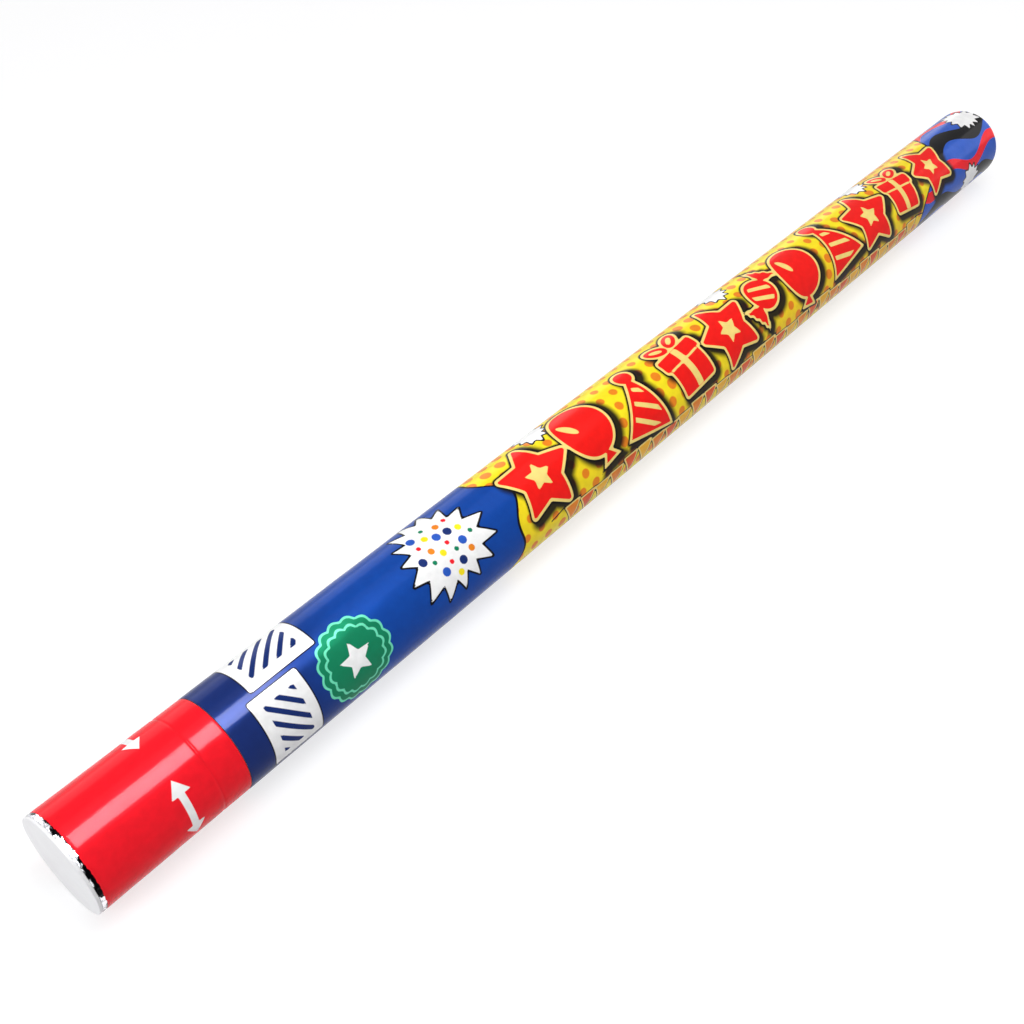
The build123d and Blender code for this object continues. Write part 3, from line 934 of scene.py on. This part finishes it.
def make_grip_wrap(rows=106, columns=224):
    """The grip's film, with a torn base end and closer rows across its crease."""
    across_crease = CREASE + CREASE_HALF * np.linspace(-1.2, 1.2, 15)
    stations = np.union1d(np.linspace(GRIP_LOW.x, GRIP_HIGH.x, rows), across_crease)
    inner = GRIP_HIGH.z - FILM_THICKNESS - CREASE_DEPTH / 2
    piece, along, around = film_ring("grip_print", stations, columns, grip_outside, inner, TORN_EDGE)
    keep(piece, lay_arrows(along, around))
    return piece


# Pieces: foils, felt and confetti


def make_rim_foil(rows=15, columns=480):
    """The bare end of the film, crumpled where it is turned in under the cap's rim."""
    low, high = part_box("rim_foil")

    def outside(along, turn):
        crumple = folds(along, turn, 0.0011, 70, seed=21)
        return high.z + 0.05 * MM - 0.30 * MM * (1 - crumple)

    stations = np.linspace(low.x, high.x, rows)
    return film_ring("rim_foil_crumpled", stations, columns, outside, high.z - 0.5 * MM)[0]


def make_muzzle_foil(columns=160):
    """The foil cup: a crinkled face drawn over the disc, with its rim folded back along the bore.

    Its profile runs from the middle of the back face out to the rim, back along the rim's two sides
    and in to the middle of the front face. Ripples lift the front face, and pleats draw in the rim.
    """
    low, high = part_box("muzzle_foil")
    reach, skin = high.z - 0.05 * MM, 0.15 * MM
    back = reach - skin
    face = np.linspace(0.03, 0.97, 26)
    rim = np.linspace(high.x - 0.4 * MM, low.x, 9)
    radius = np.concatenate([
        back * face, [back] * len(rim), [reach] * len(rim), reach * face[::-1],
    ])[:, None]
    along = np.concatenate([
        np.full(len(face), high.x - skin), rim - skin / 2, rim[::-1], np.full(len(face), high.x),
    ])[:, None]
    turn = turns(columns)
    spread = np.clip(radius / (0.5 * reach), 0, 1)
    crinkle = np.clip(0.5 + 0.5 * ripples(radius, turn, 0.006, 6, seed=33), 0, 1) * spread
    is_face = (np.abs(along - high.x) < 0.3 * MM).astype(float)
    pleat = 0.12 * MM * np.sin(41 * turn + 300 * along) * (1 - is_face)
    along = along + 0.30 * MM * crinkle * is_face
    return pole_body("muzzle_foil_crinkled", along[::-1], (radius - np.abs(pleat))[::-1], columns)


def make_felt_wad(columns=120):
    """A thick felt disc: two matted faces, joined by a rounded and slightly ragged edge."""
    low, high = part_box("felt_wad")
    middle, half, reach = (low.x + high.x) / 2, (high.x - low.x) / 2, high.z
    edge = 0.95
    face = np.linspace(0.04, edge, 18)
    bend = np.radians(np.linspace(-80, 80, 9))
    radius = np.concatenate([
        reach * face, reach * (edge + 0.045 * np.cos(bend)), reach * face[::-1],
    ])[:, None]
    flat = np.full(len(face), half)
    along = middle + np.concatenate([-flat, half * np.sin(bend), flat])[:, None]
    ragged = 0.10 * MM * (folds(along + radius, turns(columns), 0.0016, 30, seed=41) - 1)
    inward = np.where(along > middle, 1.0, -1.0)
    return pole_body("felt_wad_pressed", along + 1.5 * ragged * inward, radius + 2 * ragged, columns)


SLIPS_IN_A_PINCH = 7
SLIP = Vector((55.0, 19.6, 4.2)) * MM
SLIP_SKIN = 0.14 * MM
PINCH_ROWS = 8
PINCH_STEP = 5.0 * MM
COLUMN_PLACE = 10.0 * MM
LOAD_RADIUS = 22.1 * MM


def pinch_places():
    """Where the pinches of slips lie across the bore: two side by side where it is wide enough."""
    places = []
    for row in (np.arange(PINCH_ROWS) - (PINCH_ROWS - 1) / 2) * PINCH_STEP:
        edge = abs(row) + SLIP.z / 2
        wide = np.hypot(edge, COLUMN_PLACE + SLIP.y / 2) <= LOAD_RADIUS
        places += [(row, -COLUMN_PLACE), (row, COLUMN_PLACE)] if wide else [(row, 0.0)]
    return np.array(places)


def slip_faces(steps, across):
    """Faces of one closed slip: a top grid, the same grid turned over, and a rim between the two."""
    size = steps * across
    i, j = np.meshgrid(np.arange(steps - 1), np.arange(across - 1), indexing="ij")
    corner = (i * across + j).ravel()
    top = np.stack([corner, corner + 1, corner + across + 1, corner + across], -1)
    rim = np.concatenate([
        np.arange(across),
        np.arange(1, steps) * across + across - 1,
        (steps - 1) * across + np.arange(across - 2, -1, -1),
        np.arange(steps - 2, 0, -1) * across,
    ])
    after = np.roll(rim, -1)
    side = np.stack([after, rim, rim + size, after + size], -1)
    return np.concatenate([top, top[:, ::-1] + size, side])


def make_confetti(colour, seed, steps=8, across=4):
    """Loose slips of one colour: each is a thin sheet that waves along its length and cups across.

    Over a grid of its length t and width w, a slip's middle is offset by one sine wave along t that
    its whole packet shares, a smaller one of its own, and its cup times w squared. Its two skins lie
    half a thickness to each side.
    """
    low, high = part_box("confetti_" + colour)
    draw = np.random.default_rng(seed)
    pinches = pinch_places()
    count = 2 * len(pinches) * SLIPS_IN_A_PINCH
    start = np.repeat([low.x, high.x - SLIP.x], count // 2)[:, None, None]
    layer = (np.arange(SLIPS_IN_A_PINCH) + 0.5) / SLIPS_IN_A_PINCH - 0.5
    y = np.tile((pinches[:, :1] + 0.82 * SLIP.z * layer).ravel(), 2)[:, None, None]
    z = np.tile(np.repeat(pinches[:, 1], SLIPS_IN_A_PINCH), 2)[:, None, None]

    def vary(least, most):
        return draw.uniform(least, most, count)[:, None, None]

    t = np.linspace(0, 1, steps)[None, :, None]
    w = np.linspace(-0.5, 0.5, across)[None, None, :]
    length = SLIP.x * vary(0.93, 0.98)
    width = SLIP.y * vary(0.92, 0.985)
    slide = vary(0, 0.02) * SLIP.x
    own_wave = 0.14 * MM * np.sin(2 * np.pi * vary(0.6, 1.8) * t + vary(0, 6.3))
    shared_wave = 0.40 * MM * np.sin(2 * np.pi * 1.3 * t + seed)
    middle = y + (own_wave + shared_wave) + vary(-0.5, 0.5) * MM * w**2
    yaw = vary(-0.006, 0.006) * SLIP.x * (t - 0.5)
    grid = np.broadcast_arrays(start + slide + length * t, middle, z + width * w + yaw)
    grid = np.stack(grid, -1)
    lift = np.array([0, SLIP_SKIN / 2, 0])
    skins = [(grid + lift).reshape(count, -1, 3), (grid - lift).reshape(count, -1, 3)]
    first = 2 * steps * across * np.arange(count)
    quads = (slip_faces(steps, across)[None] + first[:, None, None]).reshape(-1, 4)
    points = np.concatenate(skins, 1).reshape(-1, 3)
    return put_mesh("slips_" + colour, points, quads, sharp_degrees=60)


# Dress the object
WHITE_PLASTIC = moulded("white_plastic", (240, 240, 242), 0.38, 0.012)
NATURAL_PLASTIC = moulded("natural_plastic", (222, 222, 212), 0.42, 0.010, Subsurface_Weight=0.06)
BLACK_PLASTIC = moulded("black_plastic", (26, 27, 30), 0.46, 0.015)
RUBBER = moulded("rubber", (20, 20, 20), 0.72, 0.03, Specular_IOR_Level=0.3)
TUBE_BOARD = board("tube_board", (176, 160, 138), 0.36)
KRAFT = board("kraft", (178, 134, 88), 0.30)
SEAL_BOARD = board("seal_board", (150, 140, 128), 0.40)
FILM_EDGE = board("film_edge", (244, 242, 238), 0.5, 0.02)
ALUMINIUM = sheet_metal("aluminium", (214, 216, 220), 0.26)
TINPLATE = sheet_metal("tinplate", (196, 194, 186), 0.32)
RIM_FOIL = crumpled_foil("rim_foil_film", (245, 246, 250), 0.495, 0.515, 0.06)
SEAL_FOIL = crumpled_foil("seal_foil_film", (204, 206, 212), 0.66, 0.80, 0.0)
BARREL_FILM = film_shader("barrel_film", paint_barrel)
GRIP_FILM = film_shader("grip_film", paint_grip)
FELT = pressed_felt("felt", (112, 110, 108))

NODE_FINISHES = {
    WHITE_PLASTIC: ["end_cap"],
    TUBE_BOARD: ["grip_tube", "barrel_tube"],
    SEAL_BOARD: ["muzzle_disc"],
    KRAFT: ["canister_liner", "barrel_bush"],
    ALUMINIUM: ["air_canister"],
    TINPLATE: ["valve_cup"],
    RUBBER: ["fill_plug", "cup_gasket", "nozzle_gasket", "seal_ring"],
    NATURAL_PLASTIC: ["nozzle", "anchor_ring", "release_plug"],
    BLACK_PLASTIC: ["pusher_cup"],
}
for finish, names in NODE_FINISHES.items():
    for name in names:
        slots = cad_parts[name].data.materials
        for index in range(len(slots)):
            slots[index] = finish


def dress(piece, body, node_name, slot, *materials):
    """Give a new piece its materials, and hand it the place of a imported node."""
    piece.data.materials.clear()
    for material in materials:
        piece.data.materials.append(material)
    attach(piece, body)
    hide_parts(node_name)


dress(make_barrel_wrap(), "barrel", "barrel_wrap", "blue_print", BARREL_FILM, FILM_EDGE)
dress(make_grip_wrap(), "grip", "grip_wrap", "red_print", GRIP_FILM, FILM_EDGE)
dress(make_rim_foil(), "grip", "rim_foil", "silver_foil", RIM_FOIL, RIM_FOIL)
dress(make_muzzle_foil(), "muzzle_seal", "muzzle_foil", "silver_foil", SEAL_FOIL)
dress(make_felt_wad(), "pusher", "felt_wad", "grey_felt", FELT)

# Confetti: colour, how metallic its face is, and the record's slot
SLIP_COLOURS = {
    "red": ((214, 30, 44), 0.0, "tissue_red"),
    "yellow": ((244, 206, 44), 0.0, "tissue_yellow"),
    "blue": ((36, 92, 200), 0.0, "tissue_blue"),
    "green": ((40, 156, 78), 0.0, "tissue_green"),
    "silver": ((212, 214, 220), 0.9, "foil_silver"),
}
for seed, (colour, (paper, shine, slot)) in enumerate(SLIP_COLOURS.items()):
    slips = make_confetti(colour, seed)
    dress(slips, "load", "confetti_" + colour, slot, paper_slip("slip_" + colour, paper, shine))

# Stage: a pale floor and a white surround
SURROUND_LEVEL = 0.32
FLOOR_REACH = 8.0
FLOOR_GAP = 0.05 * MM
FLOOR_GREY = (196, 196, 198)
SHADOW_GREY = (0.34, 0.34, 0.35, 1)
SHADOW_BASE = 0.74
PURE_WHITE = (1, 1, 1, 1)


def seen_directly(tree):
    """1 for what the camera sees, straight or in a reflection or through glass, and 0 for lighting."""
    path = node(tree, "LightPath").outputs
    seen = calc(tree, "MAXIMUM", path["Is Camera Ray"], path["Is Glossy Ray"])
    return calc(tree, "MAXIMUM", seen, path["Is Transmission Ray"])


def make_floor():
    """A flat square just under the tube: to the eye it is white, with a soft shadow near the tube."""
    corners = np.array([(-1, -1, 0), (1, -1, 0), (1, 1, 0), (-1, 1, 0)])
    points = FLOOR_REACH * corners + (0, 0, FLOOR - FLOOR_GAP)
    floor = put_mesh("floor", points, np.array([[0, 1, 2, 3]]))
    material = bpy.data.materials.new("pale_floor")
    material.use_nodes = True
    tree = material.node_tree
    tree.nodes.clear()
    pale = node(tree, "BsdfDiffuse", linear(FLOOR_GREY)).outputs[0]
    shade = node(tree, "BsdfDiffuse", SHADOW_GREY).outputs[0]
    base = node(tree, "Emission", PURE_WHITE, SHADOW_BASE).outputs[0]
    near = node(tree, "AddShader", base, shade).outputs[0]
    white = node(tree, "Emission", PURE_WHITE, 1.0).outputs[0]
    place = node(tree, "TexCoord").outputs["Object"]
    away = node(tree, "VectorMath", place, MIDDLE, operation="DISTANCE").outputs["Value"]
    even = ramp(tree, away, 0.55, 1.5, smooth=True)
    eye = node(tree, "MixShader", even, near, white).outputs[0]
    shown = node(tree, "MixShader", seen_directly(tree), pale, eye).outputs[0]
    node(tree, "OutputMaterial", shown)
    floor.data.materials.append(material)


def make_surround():
    """A world that is white to the eye and lights the object at a lower level."""
    world = bpy.data.worlds.new("surround")
    bpy.context.scene.world = world
    world.use_nodes = True
    tree = world.node_tree
    tree.nodes.clear()
    strength = ramp(tree, seen_directly(tree), 0.0, 1.0, SURROUND_LEVEL, 1.0)
    node(tree, "OutputWorld", node(tree, "Background", PURE_WHITE, strength).outputs[0])


def add_lamp(name, place, target, size, power, gleam_only):
    """A rectangular lamp that faces a target, with its first side along the popper.

    A lamp for the gleam alone shows in glossy surfaces and adds no light to matt ones.
    """
    lamp = bpy.data.lights.new(name, "AREA")
    lamp.shape, lamp.size, lamp.size_y, lamp.energy = "RECTANGLE", *size, power
    holder = bpy.data.objects.new(name, lamp)
    holder.location = place
    holder.visible_diffuse = not gleam_only
    toward = (Vector(place) - Vector(target)).normalized()
    side = Vector((1, 0, 0))
    side = (side - side.dot(toward) * toward).normalized()
    holder.rotation_euler = Matrix((side, toward.cross(side), toward)).transposed().to_euler()
    bpy.context.scene.collection.objects.link(holder)


# Lamps: name, place, target, size, watts, and whether it is for the gleam alone
LAMPS = [
    ("softbox_above", (0.27, -0.19, 0.95), (0.1, 0, 0), (0.36, 0.48), 4.4, False),
    ("gleam_above", (0.27, -0.19, 0.96), (0.1, 0, 0), (0.36, 0.52), 16.0, True),
    ("gleam_behind", (1.8, 1.6, 0.45), (1.8, 0, 0.45), (3.4, 0.9), 17.0, True),
    ("ceiling", (0.45, 0.15, 1.7), MIDDLE, (2.4, 1.3), 8.8, False),
    ("panel_base", (-1.3, 0.25, 0.55), (0, 0, 0), (0.8, 0.8), 9.5, False),
    ("panel_muzzle", (2.1, -0.3, 0.35), (0.78, 0, 0), (0.8, 0.8), 4.0, False),
]
make_floor()
make_surround()
for lamp in LAMPS:
    add_lamp(*lamp)

# Camera at the photograph's angle
camera = bpy.data.objects.new("camera", bpy.data.cameras.new("camera"))
camera.data.sensor_width, camera.data.lens = 36.0, 44.526
camera.data.clip_start, camera.data.clip_end = 0.01, 50.0
camera.location = (-0.08165, -0.308387, 0.452566)
camera.rotation_euler = np.radians((45.875, 0.0, -49.125))
bpy.context.scene.collection.objects.link(camera)
bpy.context.scene.camera = camera
bpy.context.scene.view_settings.view_transform = "Standard"
